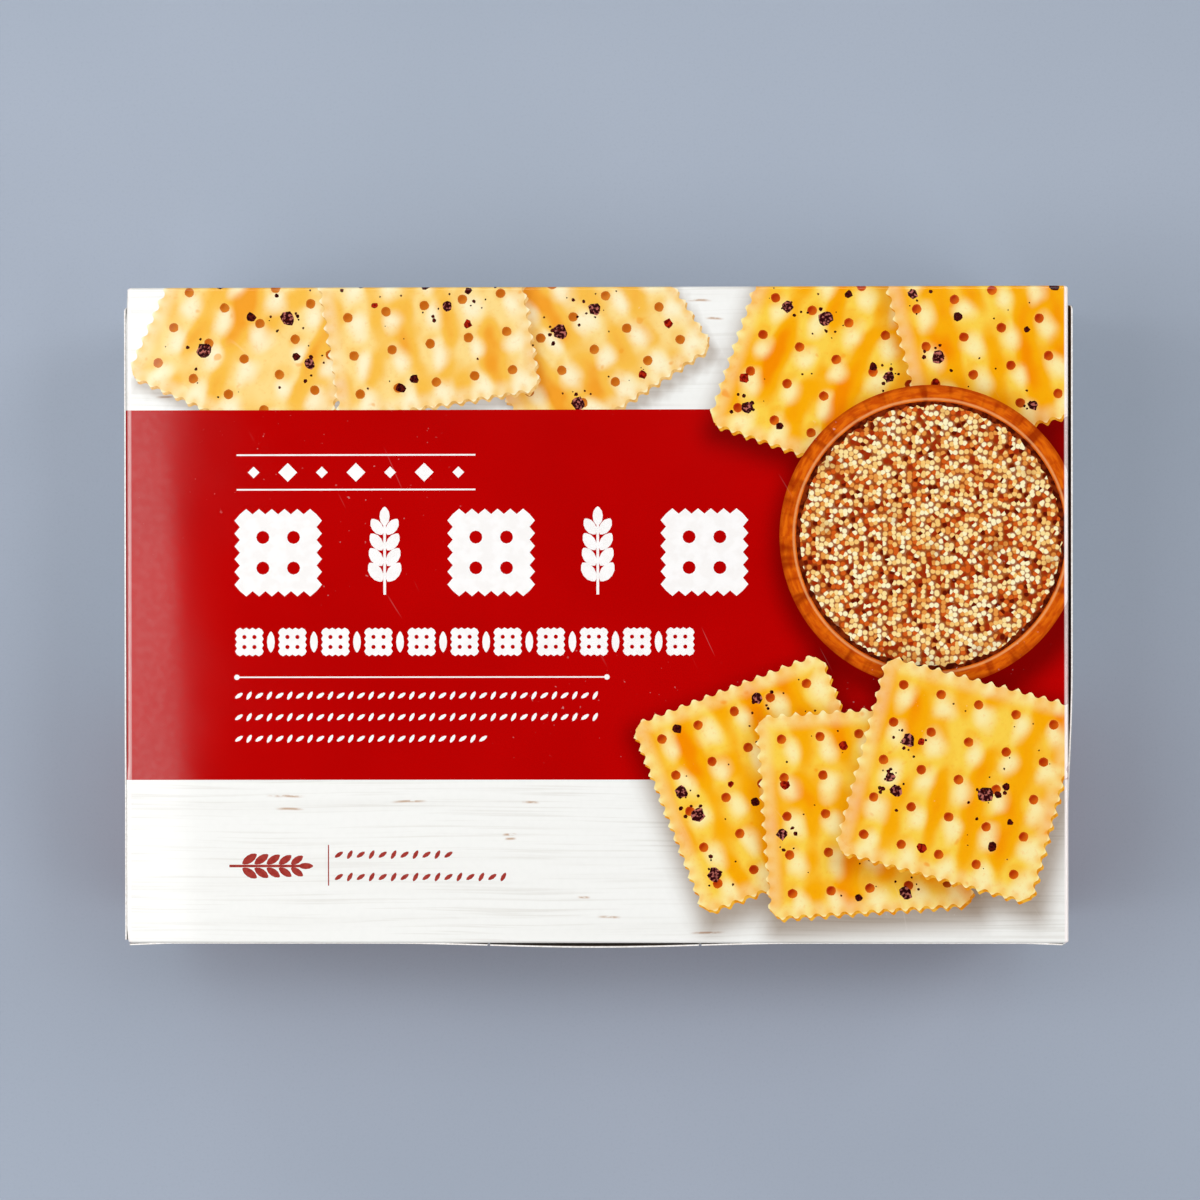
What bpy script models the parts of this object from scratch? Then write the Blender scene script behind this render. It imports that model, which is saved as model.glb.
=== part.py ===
"""Shut paperboard carton for crackers, lying on its back panel with the printed front up.

Metres, +Z up. +X runs along the front's long side and +Y towards the front's upper edge.
The origin is on the ground, below the middle of the carton's overall box.
"""

import math

import bmesh
import bpy
from mathutils import Matrix, Vector

# Main sizes of the shut carton
FRONT_WIDTH = 0.2400
FRONT_HEIGHT = 0.1675
DEPTH = 0.0660
BOARD = 0.0004
FOLD_RADIUS = 0.0010
FOLD_SEGMENTS = 4

# Outer flaps, hinged at the back folds, each with a free edge beside a front fold
SPRING = 0.00075          # widest gap between a free edge and the front fold
FLAP_DROP = 0.0005        # how far a free edge stays below the front
HINGE_SINK = 0.00003      # the outer face starts this deep, so that it leaves the fold smoothly
FREE_CORNER_HEIGHT = 0.0040
CORNER_STEPS = 6

# End flaps: cut back at the upper corner, sprung open above and closing below
END_FLAP_CUT = 0.0040
END_FLAP_MARGIN = 0.0006
END_FLAP_LOW_SPRING = 0.0002
END_FLAP_CLOSES_AT = -0.045
END_FLAP_OPENS_AT = -0.012
END_FLAP_COLUMNS = 24

# Long flap on the lower side: sprung at its two corners and bowed out along the thumb tab
LONG_FLAP_MARGIN = 0.0008
LONG_FLAP_COLUMNS = 72
CORNER_SPRING = 0.0003
CORNER_SPRING_REACH = 0.020
TAB_MIDDLE = -0.0008
TAB_WIDTH = 0.0540
TAB_BOW_REACH = 0.0410
NOTCH_WIDTH = 0.0009
NOTCH_DEPTH = 0.0030

# The lower side alone has a flap, so the panels sit off the middle by half of its reach
FLAP_REACH = SPRING + BOARD
PANEL_MIDDLE = Vector((0.0, FLAP_REACH / 2, DEPTH / 2))

PRINT_RED = (0.49, 0.001, 0.003, 1.0)
PRINT_ROUGHNESS = 0.35


def clear_scene():
    for item in list(bpy.data.objects):
        bpy.data.objects.remove(item, do_unlink=True)


def new_collection(name):
    collection = bpy.data.collections.new(name)
    bpy.context.scene.collection.children.link(collection)
    return collection


def printed_board():
    material = bpy.data.materials.new("printed_board")
    material.use_nodes = True
    shader = material.node_tree.nodes["Principled BSDF"]
    shader.inputs["Base Color"].default_value = PRINT_RED
    shader.inputs["Roughness"].default_value = PRINT_ROUGHNESS
    shader.inputs["Metallic"].default_value = 0.0
    return material


def add_object(name, mesh, collection, material):
    item = bpy.data.objects.new(name, mesh)
    collection.objects.link(item)
    mesh.materials.append(material)
    return item


def hide_as_cutter(item):
    item.hide_render = True
    item.display_type = "WIRE"


def smooth_ramp(low, high, value):
    """0 below low, 1 above high, and an even S between them."""
    share = min(max((value - low) / (high - low), 0.0), 1.0)
    return share * share * (3 - 2 * share)


def block(name, size, middle, collection, material):
    """A plain box of the given size round the given middle."""
    mesh = bpy.data.meshes.new(name)
    cube = bmesh.new()
    bmesh.ops.create_cube(cube, size=1.0)
    bmesh.ops.scale(cube, vec=size, verts=cube.verts)
    cube.to_mesh(mesh)
    cube.free()
    item = add_object(name, mesh, collection, material)
    item.location = middle
    return item


def folded_body(collection, material):
    """The glued sleeve and its tucked flaps: a box with every fold rounded."""
    size = Vector((FRONT_WIDTH, FRONT_HEIGHT, DEPTH))
    body = block("carton", size, PANEL_MIDDLE, collection, material)
    body.data.shade_smooth()
    body.data.set_sharp_from_angle(angle=math.radians(30))
    folds = body.modifiers.new("folds", "BEVEL")
    folds.width = FOLD_RADIUS
    folds.segments = FOLD_SEGMENTS
    folds.limit_method = "NONE"
    return body


def end_spring(along_height):
    """Gap at an end flap's free edge, for a place measured up the front from its middle."""
    opening = smooth_ramp(END_FLAP_CLOSES_AT, END_FLAP_OPENS_AT, along_height)
    return END_FLAP_LOW_SPRING + (SPRING - END_FLAP_LOW_SPRING) * opening


def long_spring(along_width):
    """Gap at the long flap's free edge, for a place measured along the front from its middle."""
    from_tab = min(abs(along_width - TAB_MIDDLE) / TAB_BOW_REACH, 1.0)
    bow = SPRING * math.cos(from_tab * math.pi / 2) ** 2
    from_corner = FRONT_WIDTH / 2 - abs(along_width)
    corner = CORNER_SPRING * (1 - smooth_ramp(0.0, CORNER_SPRING_REACH, from_corner))
    return bow + corner


def sprung_flap(name, side, span, cuts, columns, spring_at, collection, material):
    """A flat board that leaves the back fold and leans out towards its free edge.

    side is (direction along the flap, outward direction, distance of the side from the middle).
    span is the flap's two ends along that direction, and cuts says how far the free edge's
    rounded corner is cut back at each of them.
    """
    along, outward, distance = side
    mesh = bpy.data.meshes.new(name)
    sheet = bmesh.new()
    rows = CORNER_STEPS + 1
    bmesh.ops.create_grid(sheet, x_segments=columns, y_segments=rows, size=0.5)
    hinge_z = FOLD_RADIUS
    free_z = DEPTH - FLAP_DROP
    for vertex in sheet.verts:
        column_share = vertex.co.x + 0.5
        row = round((vertex.co.y + 0.5) * rows)
        turn = max(row - 1, 0) / CORNER_STEPS * math.pi / 2
        height = free_z - FREE_CORNER_HEIGHT * (1 - math.sin(turn))
        height = height if row else hinge_z
        cut = 1 - math.cos(turn)
        start = span[0] + cuts[0] * cut
        end = span[1] - cuts[1] * cut
        place = start + (end - start) * column_share
        lean = (height - hinge_z) / (free_z - hinge_z)
        out = (spring_at(place) + BOARD + HINGE_SINK) * lean - HINGE_SINK
        middle = Vector((PANEL_MIDDLE.x, PANEL_MIDDLE.y, height))
        vertex.co = middle + along * place + outward * (distance + out)
    sheet.to_mesh(mesh)
    sheet.free()
    flap = add_object(name, mesh, collection, material)
    board = flap.modifiers.new("board", "SOLIDIFY")
    board.thickness = BOARD
    board.offset = -1.0
    return flap


def end_flap(name, direction, collection, material):
    """The outer flap of the left (direction -1) or right (direction 1) end."""
    half = FRONT_HEIGHT / 2 - END_FLAP_MARGIN
    side = (Vector((0, direction, 0)), Vector((direction, 0, 0)), FRONT_WIDTH / 2)
    lower_cut = END_FLAP_MARGIN
    cuts = (lower_cut, END_FLAP_CUT) if direction > 0 else (END_FLAP_CUT, lower_cut)

    def spring_at(place):
        return end_spring(place * direction)

    span = (-half, half)
    return sprung_flap(name, side, span, cuts, END_FLAP_COLUMNS, spring_at, collection, material)


def tab_notch(name, place, collection, material):
    """A cutter for the short nick at one end of the thumb tab; it stays clear of the body."""
    size = Vector((NOTCH_WIDTH, 2 * FLAP_REACH, 2 * NOTCH_DEPTH))
    body_face = PANEL_MIDDLE.y - FRONT_HEIGHT / 2
    free_z = DEPTH - FLAP_DROP
    middle = Vector((place, body_face - HINGE_SINK - FLAP_REACH, free_z))
    return block(name, size, middle, collection, material)


def long_flap(collection, material):
    """The lower side's outer flap, nicked at both ends of its thumb tab."""
    half = FRONT_WIDTH / 2 - LONG_FLAP_MARGIN
    side = (Vector((1, 0, 0)), Vector((0, -1, 0)), FRONT_HEIGHT / 2)
    cuts = (LONG_FLAP_MARGIN, LONG_FLAP_MARGIN)
    flap = sprung_flap(
        "long_flap", side, (-half, half), cuts, LONG_FLAP_COLUMNS, long_spring, collection, material
    )
    for name, direction in (("notch_left", -1), ("notch_right", 1)):
        place = TAB_MIDDLE + direction * TAB_WIDTH / 2
        notch = tab_notch(name, place, collection, material)
        hide_as_cutter(notch)
        nick = flap.modifiers.new(name, "BOOLEAN")
        nick.operation = "DIFFERENCE"
        nick.solver = "EXACT"
        nick.object = notch
    return flap


def build():
    clear_scene()
    carton_parts = new_collection("cracker_carton")
    guides = new_collection("carton_guides")
    material = printed_board()
    body = folded_body(carton_parts, material)
    flaps = [
        end_flap("left_flap", -1, guides, material),
        end_flap("right_flap", 1, guides, material),
        long_flap(guides, material),
    ]
    for flap in flaps:
        hide_as_cutter(flap)
        joined = body.modifiers.new(flap.name, "BOOLEAN")
        joined.operation = "UNION"
        joined.solver = "EXACT"
        joined.object = flap


build()
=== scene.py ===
"""Looks of a shut cracker carton: one printed sheet of board, cut, folded and glued.

The artwork is laid out on the flat sheet, as a printer would, then the sheet is folded.
On the sheet, s runs across the front's width and t runs round the carton: from the middle
of the front up over the top side, the back and the long outer flap. All sizes are metres.
"""

import math
import random
from functools import cache

import bpy
from mathutils import Matrix, Vector
from mathutils.geometry import delaunay_2d_cdt


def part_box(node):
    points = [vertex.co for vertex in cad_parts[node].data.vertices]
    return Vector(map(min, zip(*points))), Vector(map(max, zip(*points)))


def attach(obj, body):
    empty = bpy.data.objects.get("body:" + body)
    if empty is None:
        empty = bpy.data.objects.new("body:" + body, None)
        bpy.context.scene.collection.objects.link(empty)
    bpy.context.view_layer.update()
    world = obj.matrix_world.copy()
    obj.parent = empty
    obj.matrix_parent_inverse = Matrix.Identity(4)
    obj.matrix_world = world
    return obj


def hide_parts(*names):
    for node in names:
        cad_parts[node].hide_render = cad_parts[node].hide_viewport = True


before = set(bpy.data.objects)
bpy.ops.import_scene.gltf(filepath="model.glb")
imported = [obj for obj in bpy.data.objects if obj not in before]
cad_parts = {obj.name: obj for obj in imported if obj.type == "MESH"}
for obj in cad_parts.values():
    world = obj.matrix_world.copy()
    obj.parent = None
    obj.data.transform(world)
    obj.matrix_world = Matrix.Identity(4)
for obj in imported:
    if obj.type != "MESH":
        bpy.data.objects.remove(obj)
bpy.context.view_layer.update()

# The board and its folds
BOARD = 0.00036
FOLD_RADIUS = 0.0007
FOLD_LENGTH = FOLD_RADIUS * math.pi / 2
FOLD_STEPS = 5

# Outer flaps, hinged at the back, each with a free edge beside a front fold
SPRING = 0.00079
FLAP_REACH = SPRING + BOARD
FLAP_DROP = 0.0005
FREE_CORNER_HEIGHT = 0.0040
CORNER_STEPS = 8
CORNER_TURNS = [step / CORNER_STEPS * math.pi / 2 for step in range(CORNER_STEPS + 1)]
END_FLAP_TAPER = 0.0040
END_FLAP_CUT = 0.0056
END_FLAP_LOW_CUT = 0.0002
END_FLAP_CLOSES_AT = -0.060
END_FLAP_OPENS_AT = -0.014
END_FLAP_SKEW = 0.0006
END_FLAP_TUCK = 0.0002
LONG_FLAP_MARGIN = 0.0002
RIGHT_CORNER_CLIP = 0.0012
FLAP_SEATED = 0.12
LEAN_CURVE = 1.7
END_FLAP_GLUED = 0.60
LONG_FLAP_GLUED = 0.40
FLAP_ROWS = (
    0.04, 0.08, 0.12, 0.40, 0.46, 0.53, 0.60, 0.67, 0.74, 0.81, 0.88, 0.94, 0.955, 0.97, 0.985,
)
CORNER_SPRING = 0.0004
CORNER_SPRING_REACH = 0.012
LONG_FLAP_TUCK = 0.00024

# On the left the front's own end flap bows out below its fold, and the outer flap lies on it
BOW = 0.00042
LOW_BOW = 0.00036
BOW_NARROWS = (-0.047, -0.033)
BOW_STARTS = 0.0001
BOW_FULL = 0.0008
LOW_BOW_FULL = 0.0004
BOW_ENDS = 0.0230
BOW_FADES_ABOVE = 0.0080
BOW_ROWS = (0.0001, 0.00025, 0.0004, 0.0006, 0.0010, 0.0050, 0.0090, 0.0130, 0.0180)
FLAP_PLAY = 0.00003

# Where an outer flap is pressed in behind the front's fold, the flap under it gives way
DENT_STARTS = 0.0007
DENT_FULL = 0.0011

# Thumb tab in the long flap
TAB_MIDDLE = -0.0008
TAB_WIDTH = 0.0540
TAB_DEPTH = 0.0170
TAB_BOW_REACH = 0.0550
NOTCH_WIDTH = 0.0009
NOTCH_DEPTH = 0.0030
NOTCH_TAPER = 0.3
CUT_WIDTH = 0.00025
CUT_LENGTH = 0.0026
CUT_STEP = 0.0034

# Flaps that are tucked in under the outer ones
TUCK = BOARD + 0.00003
INNER_FLAP_LENGTH = 0.026
DUST_FLAP_LENGTH = 0.012
SLIT_INSET = 0.0002

# Panels, worked out from the solid's box
low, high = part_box("carton")
FRONT_WIDTH = high.x - low.x - 2 * FLAP_REACH
FRONT_HEIGHT = high.y - low.y - FLAP_REACH
DEPTH = high.z - low.z
MIDDLE_X = (low.x + high.x) / 2
MIDDLE_Y = (low.y + FLAP_REACH + high.y) / 2
GROUND = low.z

# Places along the sheet where flat panels and folds begin and end
S_FLAT = FRONT_WIDTH / 2 - FOLD_RADIUS
S_FLAP = S_FLAT + FOLD_LENGTH
FLAP_LENGTH = DEPTH - FLAP_DROP - FOLD_RADIUS
S_FREE = S_FLAP + FLAP_LENGTH
S_SLIT = S_FLAT + FOLD_LENGTH * 0.85
T_FRONT = FRONT_HEIGHT / 2 - FOLD_RADIUS
T_SIDE = T_FRONT + FOLD_LENGTH
T_SIDE_END = T_SIDE + DEPTH - 2 * FOLD_RADIUS
T_BACK = T_SIDE_END + FOLD_LENGTH
T_BACK_END = T_BACK + FRONT_HEIGHT - 2 * FOLD_RADIUS
T_LONG = T_BACK_END + FOLD_LENGTH
T_FREE = T_LONG + FLAP_LENGTH

# Fields of colour on the front
BAND_TOP = 0.0524
BAND_BOTTOM = -0.0420

# The other red field: over the back's lower part, its end flaps and the long outer flap
LOWER_FIELD_REACH = 0.0560
LOWER_FIELD_MARGIN = 0.0070
T_LOWER_FIELD = T_BACK_END - LOWER_FIELD_REACH

# The front sags a little, unevenly: pitch and start of slow waves across and along it
PANEL_SAG = 0.00025
SAG_UNEVEN = 0.4
WAVES_ACROSS = (31, 0.6)
WAVES_ALONG = (27, -0.4)

# Spacing of the points on the front board and on the other three pieces
FINE_GRID = 0.0022
COARSE_GRID = 0.0050


def linear(red, green, blue):
    """A colour given in screen values from 0 to 255, as the shader's linear values."""
    def channel(value):
        share = value / 255
        return share / 12.92 if share <= 0.04045 else ((share + 0.055) / 1.055) ** 2.4
    return (channel(red), channel(green), channel(blue), 1.0)


def smooth_ramp(start, end, value):
    """0 below start, 1 above end, and an even S between them."""
    share = min(max((value - start) / (end - start), 0.0), 1.0)
    return share * share * (3 - 2 * share)


# Folding

def wrap(t):
    """Place and outward normal, in the y-z plane, of the sheet at t round the carton."""
    mirror = -1.0 if t < 0 else 1.0
    left = abs(t)
    place = Vector((0.0, DEPTH))
    heading = Vector((1.0, 0.0))
    outward = Vector((0.0, 1.0))
    for flat in (T_FRONT, T_SIDE_END - T_SIDE, T_BACK_END - T_BACK, FLAP_LENGTH):
        step = min(left, flat)
        place = place + heading * step
        left -= step
        if left <= 0:
            break
        centre = place - outward * FOLD_RADIUS
        angle = min(left / FOLD_LENGTH, 1.0) * math.pi / 2
        outward, heading = (
            outward * math.cos(angle) + heading * math.sin(angle),
            heading * math.cos(angle) - outward * math.sin(angle),
        )
        place = centre + outward * FOLD_RADIUS
        left -= FOLD_LENGTH
        if left <= 0:
            break
    return mirror * place.x, place.y, mirror * outward.x, outward.y


def end_fold(s):
    """Distance from the middle, drop below the panel and tilt of the sheet at s."""
    past = max(abs(s) - S_FLAT, 0.0)
    angle = min(past / FOLD_LENGTH, 1.0) * math.pi / 2
    across = min(abs(s), S_FLAT) + FOLD_RADIUS * math.sin(angle)
    drop = FOLD_RADIUS * (1 - math.cos(angle)) + max(past - FOLD_LENGTH, 0.0)
    return across, drop, angle


def tuck_share(t):
    """How far the sheet's ends are tucked in: 0 on the front and back, 1 on the long sides."""
    off_front = smooth_ramp(T_FRONT + FOLD_LENGTH * 0.4, T_SIDE, abs(t))
    on_back = smooth_ramp(T_SIDE_END, T_BACK - FOLD_LENGTH * 0.4, t)
    return off_front * (1 - on_back)


def end_spring(y):
    """Gap between the right end flap's free edge and the front fold; below 0 it is pressed in."""
    pressed = BOARD + END_FLAP_TUCK
    return (SPRING + pressed) * smooth_ramp(END_FLAP_CLOSES_AT, END_FLAP_OPENS_AT, y) - pressed


def left_bow(depth, y):
    """How far the left end bows out, by the depth below the front and the height on it."""
    bow = LOW_BOW + (BOW - LOW_BOW) * smooth_ramp(*BOW_NARROWS, y)
    return bow * (1 - smooth_ramp(BOW_FULL, BOW_ENDS, depth))


def left_shoulder(t, depth, y):
    """How far the left inner flap stands out, just below the front's fold."""
    above = 1 - smooth_ramp(T_FRONT - BOW_FADES_ABOVE, T_FRONT - BOW_FULL, t)
    below = 1 - smooth_ramp(T_FRONT - BOW_FULL, T_FRONT, -t)
    full_at = LOW_BOW_FULL + (BOW_FULL - LOW_BOW_FULL) * smooth_ramp(*BOW_NARROWS, y)
    return left_bow(depth, y) * smooth_ramp(BOW_STARTS, full_at, depth) * above * below


def dent(spring, depth, glued):
    """How far a flap is pressed in by the outer flap over it, which has this spring."""
    share = (DEPTH - depth - FOLD_RADIUS) / FLAP_LENGTH
    loose = min(max((share - glued) / (1 - glued), 0.0), 1.0)
    pressed = min(spring, 0.0) * loose ** LEAN_CURVE - FLAP_PLAY
    return pressed * smooth_ramp(DENT_STARTS, DENT_FULL, depth)


def long_spring(x):
    """Gap between the long flap's free edge and the front fold."""
    from_tab = min(abs(x - TAB_MIDDLE) / TAB_BOW_REACH, 1.0)
    bow = (SPRING + LONG_FLAP_TUCK) * math.cos(from_tab * math.pi / 2) ** 2
    from_corner = FRONT_WIDTH / 2 - abs(x)
    corner = CORNER_SPRING * (1 - smooth_ramp(0.0, CORNER_SPRING_REACH, from_corner))
    return bow + corner - LONG_FLAP_TUCK


def flap_lean(share, spring, glued):
    """An outer flap's stand-off, from its hinge (0) up to its free edge (1).

    It lies on the flap under it as far as it is glued, and springs away from that above.
    """
    seated = BOARD * smooth_ramp(0.0, FLAP_SEATED, share)
    loose = max(share - glued, 0.0) / (1 - glued)
    return seated + spring * loose ** LEAN_CURVE


def stand_off(s, t, y, drop):
    """How far the sheet stands outside its panel's plane; tucked parts lie inside it."""
    if t > T_LONG:
        return flap_lean((t - T_LONG) / FLAP_LENGTH, long_spring(s), LONG_FLAP_GLUED)
    if t < -T_SIDE:
        depth = FOLD_RADIUS - t - T_SIDE
        slant = -TUCK * (-t - T_SIDE) / (T_SIDE_END - T_SIDE)
        return slant + dent(long_spring(s), depth, LONG_FLAP_GLUED)
    if drop > FOLD_RADIUS and t > T_BACK - FOLD_LENGTH:
        share = (drop - FOLD_RADIUS) / FLAP_LENGTH
        if s < 0:
            return flap_lean(share, 0.0, 0.0) + left_bow(DEPTH - drop, y) + FLAP_PLAY * share
        return flap_lean(share, end_spring(y), END_FLAP_GLUED)
    if drop > 0 and abs(t) < T_SIDE:
        return left_shoulder(t, drop, y) if s < 0 else dent(end_spring(y), drop, END_FLAP_GLUED)
    if abs(s) < S_FLAT and abs(t) < T_FRONT:
        calm = (1 - (s / S_FLAT) ** 2) * (1 - (t / T_FRONT) ** 2)
        across = math.cos(s * WAVES_ACROSS[0] + WAVES_ACROSS[1])
        along = math.cos(t * WAVES_ALONG[0] + WAVES_ALONG[1])
        return -PANEL_SAG * calm * (1 - SAG_UNEVEN + SAG_UNEVEN * across * along)
    return 0.0


def folded(s, t, depth=0.0):
    """Where a point of the flat sheet lies on the shut carton, depth under its printed side."""
    y, z, normal_y, normal_z = wrap(t)
    side = -1.0 if s < 0 else 1.0
    across, drop, tilt = (abs(s), 0.0, 0.0) if t > T_LONG else end_fold(s)
    across -= TUCK * tuck_share(t) * min(abs(s) / S_FLAT, 1.0)
    outward = Vector((side * math.sin(tilt), normal_y * math.cos(tilt), normal_z * math.cos(tilt)))
    place = Vector((MIDDLE_X + side * across, MIDDLE_Y + y - normal_y * drop, z - normal_z * drop))
    place.z += GROUND
    return place + outward * (stand_off(s, t, y, drop) - depth)


# Shapes on the flat sheet

KERNEL_PINCH = 0.45


def polar(angle, reach):
    """The point at this angle and distance from the middle."""
    return (reach * math.cos(angle), reach * math.sin(angle))


def circle(radius, corners=12):
    """A closed ring of points."""
    step = 2 * math.pi / corners
    return [polar(k * step, radius) for k in range(corners)]


def kernel(length, width, corners=12):
    """An oval along the first axis, pinched towards its two tips."""
    points = []
    for k in range(corners):
        angle = 2 * math.pi * k / corners
        pinch = 1 - KERNEL_PINCH * math.cos(angle) ** 4
        points.append((length / 2 * math.cos(angle), width / 2 * math.sin(angle) * pinch))
    return points


def rectangle(left, bottom, right, top):
    """A closed rectangle, listed anticlockwise."""
    return [(left, bottom), (right, bottom), (right, top), (left, top)]


def placed(loop, middle, turn=0.0):
    """A loop turned, then moved to its middle."""
    cos, sin = math.cos(turn), math.sin(turn)
    return [(middle[0] + x * cos - y * sin, middle[1] + x * sin + y * cos) for x, y in loop]


def stepped(loop, longest):
    """The same closed loop with points added, so that long sides can bend with the sheet."""
    points = []
    for start, end in zip(loop, loop[1:] + loop[:1]):
        count = max(math.ceil(math.dist(start, end) / longest), 1)
        for k in range(count):
            share = k / count
            points.append(tuple(a + (b - a) * share for a, b in zip(start, end)))
    return points


def strip(start, end, width):
    """A straight strip of even width from one point to another."""
    start, end = Vector(start), Vector(end)
    along = (end - start).normalized()
    across = Vector((-along.y, along.x)) * width / 2
    corners = (start - across, end - across, end + across, start + across)
    return [tuple(corner) for corner in corners]


def pinked(run, half, steps, tooth):
    """A square with teeth, each side as long as two runs.

    tooth gives how far out of the square a point lies, by its share of the side.
    """
    loop = []
    for side in range(4):
        for step in range(steps):
            share = step / steps
            point = (run * (2 * share - 1), -half - tooth(share))
            loop += placed([point], (0, 0), side * math.pi / 2)
    return loop


class Artwork:
    """Printed shapes in the order in which they are laid down on the sheet."""

    def __init__(self):
        self.shapes = []
        self.shadows = []

    def add(self, ink, loop, middle=(0.0, 0.0), turn=0.0, batch=0.0):
        """Adds a loop drawn round its own middle. batch sets its material's chance patterns."""
        self.shapes.append({
            "ink": ink, "loop": placed(loop, middle, turn), "middle": middle,
            "turn": turn, "batch": batch, "layer": len(self.shadows),
        })

    def shade(self, s, t, layer):
        """Darkness, from 0 to 1, of the printed shadows laid over a layer, at a point."""
        light = 1.0
        for shadow in self.shadows[layer:]:
            light *= 1 - shadow(s, t)
        return 1 - light


# The sheet where nothing lies over its white boards
BARE_SHEET = {
    "ink": "white_boards", "middle": (0.0, 0.0), "turn": 0.0, "batch": 0.0, "layer": 0,
}

# Crackers as printed: pinked edges and rows of docking holes
CRACKER_HALF = 0.0252
HOLE_PITCH = 0.00986
HOLE_ROWS = 5
HOLE_RADIUS = 0.00125
HOLE_UNEVEN = 0.06
TOOTH = 0.0036
TOOTH_DEPTH = 0.0011
TOOTH_UNEVEN = (0.85, 1.1)
TOOTH_CORNERS = 8
CORNER_CLIP = 0.0009
EDGE_SHIFT = (0.0004, -0.0007)

# Seeds on a cracker, each with its range of radius: clusters of a large one among crumbs,
# single ones, and specks
SEED_MARGIN = 0.003
CLUSTERS = 4
CLUSTER_SEED = (0.0013, 0.0019)
CLUSTER_CRUMBS = 7
CLUSTER_SPREAD = 0.0028
CRUMB = (0.0002, 0.0006)
SINGLE_SEEDS = ("dark_seed", "dark_seed", "dark_seed", "red_seed", "dark_seed", "red_seed")
SINGLE_SEED = (0.0008, 0.0013)
SPECKS = 14
SPECK = (0.00015, 0.00035)

# Printed shadows: where they fall, and each one's softness and darkness
SHADOW_SHIFT = (0.0016, -0.0026)
SHADOW_CURVE = 1.5
SHADOW_START = -0.001
SHADOWS = {"rich": (0.0090, 0.76), "pale": (0.0034, 0.66), "bowl": (0.0090, 0.75)}


def cracker_outline(chance):
    """A square with small round teeth and clipped corners."""
    run = CRACKER_HALF - CORNER_CLIP
    teeth = round(2 * run / TOOTH)

    def tooth(share):
        wave = math.sin(math.pi * share * teeth) ** 2
        return TOOTH_DEPTH * wave ** 1.5 * chance.uniform(*TOOTH_UNEVEN)

    return pinked(run, CRACKER_HALF, teeth * TOOTH_CORNERS, tooth)


def blob(chance, radius, corners=9, uneven=0.2):
    """An uneven round spot."""
    loop = []
    for k in range(corners):
        angle = 2 * math.pi * (k + chance.uniform(-uneven, uneven)) / corners
        loop.append(polar(angle, radius * chance.uniform(1 - uneven, 1 + uneven)))
    return loop


def soft_square(middle, turn, softness, darkness):
    """A function for the shadow of one cracker: full under it, fading out round it."""
    cos, sin = math.cos(-turn), math.sin(-turn)
    shifted = (middle[0] + SHADOW_SHIFT[0], middle[1] + SHADOW_SHIFT[1])

    def shadow(s, t):
        x, y = s - shifted[0], t - shifted[1]
        u, v = x * cos - y * sin, x * sin + y * cos
        over = Vector((max(abs(u) - CRACKER_HALF, 0.0), max(abs(v) - CRACKER_HALF, 0.0)))
        return darkness * (1 - smooth_ramp(SHADOW_START, softness, over.length)) ** SHADOW_CURVE

    return shadow


def soft_disc(middle, radius, softness, darkness):
    """A function for the bowl's shadow, fading out from its rim."""
    def shadow(s, t):
        away = math.hypot(s - middle[0] - SHADOW_SHIFT[0], t - middle[1] - SHADOW_SHIFT[1])
        return darkness * (1 - smooth_ramp(radius, radius + softness, away)) ** SHADOW_CURVE

    return shadow


def cracker(art, name, middle, degrees, tone="rich"):
    """One printed cracker: its browned edge, face, holes, seeds and specks."""
    turn = math.radians(degrees)
    chance = random.Random(name)
    batch = chance.uniform(0.0, 40.0)
    loop = cracker_outline(chance)
    edge_middle = (middle[0] + EDGE_SHIFT[0], middle[1] + EDGE_SHIFT[1])
    art.shadows.append(soft_square(middle, turn, *SHADOWS[tone]))
    art.add("cracker_edge_" + tone, loop, edge_middle, turn, batch)
    art.add("cracker_" + tone, loop, middle, turn, batch)
    middle_hole = (HOLE_ROWS - 1) / 2
    for row in range(HOLE_ROWS):
        for column in range(HOLE_ROWS):
            spot = ((column - middle_hole) * HOLE_PITCH, (row - middle_hole) * HOLE_PITCH)
            outline = blob(chance, HOLE_RADIUS, 12, HOLE_UNEVEN)
            place = placed([spot], middle, turn)[0]
            art.add("docking_hole_" + tone, outline, place, 0.0, chance.random())
    inside = CRACKER_HALF - SEED_MARGIN

    def somewhere():
        return (chance.uniform(-inside, inside), chance.uniform(-inside, inside))

    def seed(ink, spot, sizes, corners=9):
        outline = blob(chance, chance.uniform(*sizes), corners)
        outline = placed(outline, (0, 0), chance.uniform(0, 6))
        art.add(ink, outline, placed([spot], middle, turn)[0], 0.0, batch)

    for _ in range(CLUSTERS):
        x, y = somewhere()
        seed("speckled_seed", (x, y), CLUSTER_SEED, 11)
        for _ in range(CLUSTER_CRUMBS):
            near = (x + chance.gauss(0, CLUSTER_SPREAD), y + chance.gauss(0, CLUSTER_SPREAD))
            if abs(near[0]) < inside and abs(near[1]) < inside:
                seed("dark_seed", near, CRUMB, 6)
    for ink in SINGLE_SEEDS:
        seed(ink, somewhere(), SINGLE_SEED)
    for _ in range(SPECKS):
        seed("dark_seed", somewhere(), SPECK, 5)


# A round wooden bowl of grain, seen from above
BOWL_MIDDLE = (0.0850, 0.0200)
BOWL_RADIUS = 0.0385
BOWL_RIM = 0.0042
BOWL_CORNERS = 120
HEAP_GAP = 0.0007
HEAP_UNEVEN = 0.0009


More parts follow.
